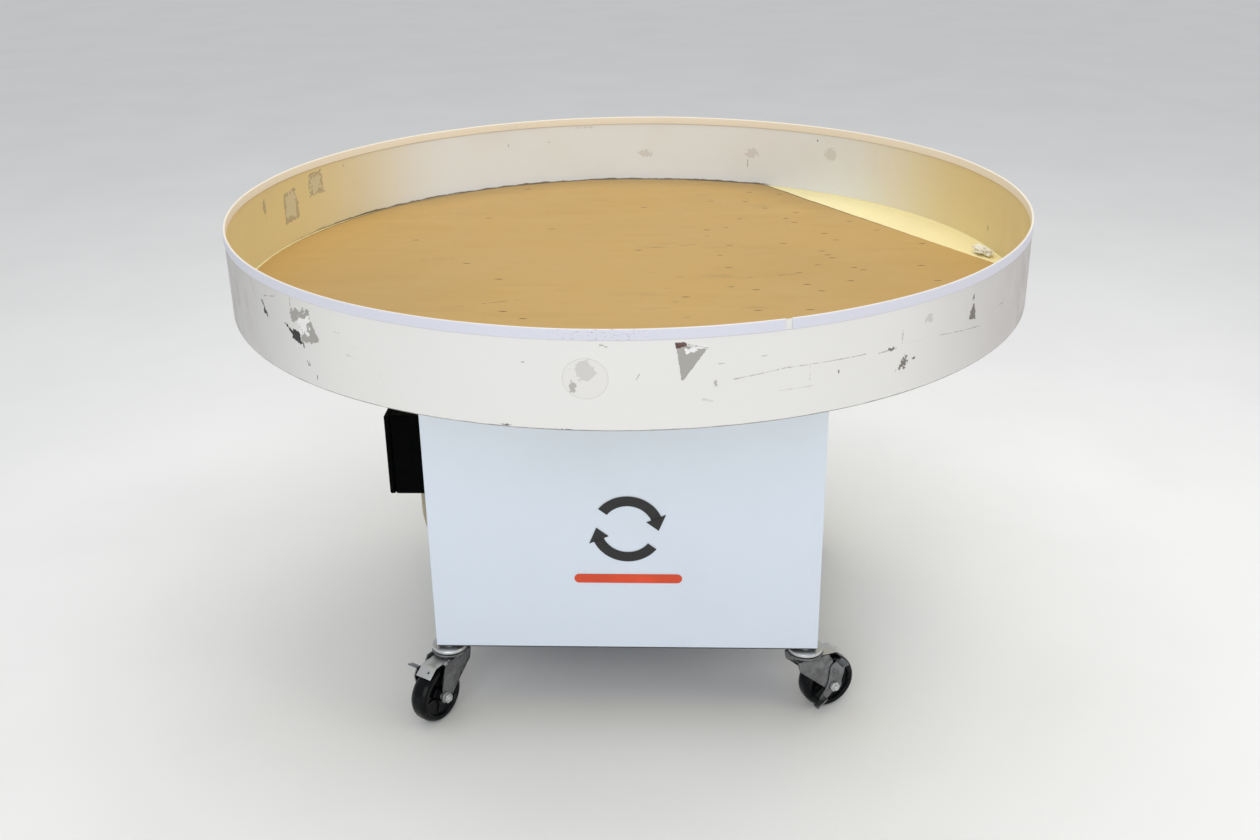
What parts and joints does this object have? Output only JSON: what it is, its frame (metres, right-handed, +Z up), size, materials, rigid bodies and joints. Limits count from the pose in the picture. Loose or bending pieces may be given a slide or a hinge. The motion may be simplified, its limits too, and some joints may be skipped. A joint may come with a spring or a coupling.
{
  "type": "rotary packing turntable",
  "caption": "Round rimmed packing turntable that spins on a square cabinet with a worm drive, side control box and braked swivel casters.",
  "frame": {"origin": "on the floor under the deck shaft, at the centre of the deck's circle", "axes": "+Z up along the deck shaft; -Y towards the front panel; +X to the right of someone facing the front panel"},
  "size_m": [1.524, 1.524, 0.9443],
  "materials": {
    "rim_paint": "satin white enamel, chipped",
    "trim_white": "bluish white edge channel, scuffed",
    "deck_paint": "satin enamel",
    "hardboard": "tan tempered hardboard, worn",
    "cabinet_white": "cool white powder coat",
    "frame_paint": "black paint",
    "plain_steel": "machined",
    "cast_iron": "grey enamel over casting",
    "gear_bronze": "machined bronze",
    "motor_grey": "grey enamel",
    "black_plastic": "black moulded",
    "knob_grey": "grey moulded",
    "board_green": "solder mask",
    "gland_nickel": "nickel plated",
    "lead_tan": "tan jacket",
    "bright_zinc": "bright zinc plate",
    "black_tyre": "glossy black moulded wheel"
  },
  "bodies": {
    "cabinet": {"base_frame": "frame_paint", "front_panel": "cabinet_white", "back_panel": "cabinet_white", "left_panel": "cabinet_white", "right_panel": "cabinet_white", "top_plate": "frame_paint", "bearing_housing": "cast_iron", "gearbox_housing": "cast_iron", "gearbox_cover": "cast_iron", "motor_case": "motor_grey", "fan_cover": "black_plastic", "control_box": "black_plastic", "control_lid": "black_plastic", "control_board": "board_green", "switch_bezel": "black_plastic", "lead_gland": "gland_nickel", "mains_gland": "gland_nickel", "side_gland": "gland_nickel", "motor_lead": "lead_tan", "corner_post_front_left": "frame_paint", "caster_front_left_stem": "bright_zinc", "corner_post_front_right": "frame_paint", "caster_front_right_stem": "bright_zinc", "corner_post_back_left": "frame_paint", "caster_back_left_stem": "bright_zinc", "corner_post_back_right": "frame_paint", "caster_back_right_stem": "bright_zinc"},
    "deck": {"rim_wall_front": "rim_paint", "rim_wall_back": "rim_paint", "rim_trim": "trim_white", "deck_plate": "deck_paint", "floor_liner": "hardboard", "deck_spider": "plain_steel", "drive_shaft": "plain_steel", "hub_flange": "cast_iron", "bearing_ring": "plain_steel", "worm_wheel": "gear_bronze"},
    "worm": {"worm_shaft": "plain_steel"},
    "knob": {"speed_knob": "knob_grey"},
    "rocker": {"power_switch": "knob_grey"},
    "front_left_swivel": {"caster_front_left_fork": "bright_zinc", "caster_front_left_axle": "bright_zinc", "caster_front_left_brake_leaf": "bright_zinc"},
    "front_left_wheel": {"caster_front_left_wheel": "black_tyre"},
    "front_left_lever": {"caster_front_left_brake_lever": "bright_zinc"},
    "front_right_swivel": {"caster_front_right_fork": "bright_zinc", "caster_front_right_axle": "bright_zinc", "caster_front_right_brake_leaf": "bright_zinc"},
    "front_right_wheel": {"caster_front_right_wheel": "black_tyre"},
    "front_right_lever": {"caster_front_right_brake_lever": "bright_zinc"},
    "back_left_swivel": {"caster_back_left_fork": "bright_zinc", "caster_back_left_axle": "bright_zinc", "caster_back_left_brake_leaf": "bright_zinc"},
    "back_left_wheel": {"caster_back_left_wheel": "black_tyre"},
    "back_left_lever": {"caster_back_left_brake_lever": "bright_zinc"},
    "back_right_swivel": {"caster_back_right_fork": "bright_zinc", "caster_back_right_axle": "bright_zinc", "caster_back_right_brake_leaf": "bright_zinc"},
    "back_right_wheel": {"caster_back_right_wheel": "black_tyre"},
    "back_right_lever": {"caster_back_right_brake_lever": "bright_zinc"}
  },
  "joints": [
    {"name": "deck_spin", "type": "hinge", "parent": "cabinet", "child": "deck", "pos_m": [0, 0, 0.787], "axis": [0, 0, 1], "continuous": true},
    {"name": "worm_spin", "type": "hinge", "parent": "cabinet", "child": "worm", "pos_m": [0, 0.042, 0.65], "axis": [1, 0, 0], "continuous": true},
    {"name": "speed_knob_turn", "type": "hinge", "parent": "cabinet", "child": "knob", "pos_m": [-0.481, -0.055, 0.505], "axis": [-1, 0, 0], "range_deg": [0, 270]},
    {"name": "power_switch_rock", "type": "hinge", "parent": "cabinet", "child": "rocker", "pos_m": [-0.4708, -0.145, 0.505], "axis": [0, -1, 0], "range_deg": [0, 16]},
    {"name": "front_left_swivel_turn", "type": "hinge", "parent": "cabinet", "child": "front_left_swivel", "pos_m": [-0.3461, -0.3461, 0.1354], "axis": [0, 0, 1], "continuous": true},
    {"name": "front_left_wheel_spin", "type": "hinge", "parent": "front_left_swivel", "child": "front_left_wheel", "pos_m": [-0.3726, -0.3885, 0.0555], "axis": [0.848, -0.5299, 0], "continuous": true},
    {"name": "front_left_brake_release", "type": "hinge", "parent": "front_left_swivel", "child": "front_left_lever", "pos_m": [-0.3726, -0.3885, 0.0555], "axis": [0.848, -0.5299, 0], "range_deg": [0, 34]},
    {"name": "front_right_swivel_turn", "type": "hinge", "parent": "cabinet", "child": "front_right_swivel", "pos_m": [0.3461, -0.3461, 0.1354], "axis": [0, 0, 1], "continuous": true},
    {"name": "front_right_wheel_spin", "type": "hinge", "parent": "front_right_swivel", "child": "front_right_wheel", "pos_m": [0.39065, -0.3234, 0.0555], "axis": [-0.454, 0.891, 0], "continuous": true},
    {"name": "front_right_brake_release", "type": "hinge", "parent": "front_right_swivel", "child": "front_right_lever", "pos_m": [0.39065, -0.3234, 0.0555], "axis": [-0.454, 0.891, 0], "range_deg": [0, 34]},
    {"name": "back_left_swivel_turn", "type": "hinge", "parent": "cabinet", "child": "back_left_swivel", "pos_m": [-0.3461, 0.3461, 0.1354], "axis": [0, 0, 1], "continuous": true},
    {"name": "back_left_wheel_spin", "type": "hinge", "parent": "back_left_swivel", "child": "back_left_wheel", "pos_m": [-0.39142, 0.32497, 0.0555], "axis": [0.4226, -0.9063, 0], "continuous": true},
    {"name": "back_left_brake_release", "type": "hinge", "parent": "back_left_swivel", "child": "back_left_lever", "pos_m": [-0.39142, 0.32497, 0.0555], "axis": [0.4226, -0.9063, 0], "range_deg": [0, 34]},
    {"name": "back_right_swivel_turn", "type": "hinge", "parent": "cabinet", "child": "back_right_swivel", "pos_m": [0.3461, 0.3461, 0.1354], "axis": [0, 0, 1], "continuous": true},
    {"name": "back_right_wheel_spin", "type": "hinge", "parent": "back_right_swivel", "child": "back_right_wheel", "pos_m": [0.3885, 0.3196, 0.0555], "axis": [0.5299, 0.848, 0], "continuous": true},
    {"name": "back_right_brake_release", "type": "hinge", "parent": "back_right_swivel", "child": "back_right_lever", "pos_m": [0.3885, 0.3196, 0.0555], "axis": [0.5299, 0.848, 0], "range_deg": [0, 34]}
  ],
  "couplings": [
    {"joint": "worm_spin", "follows": "deck_spin", "ratio": -30}
  ]
}
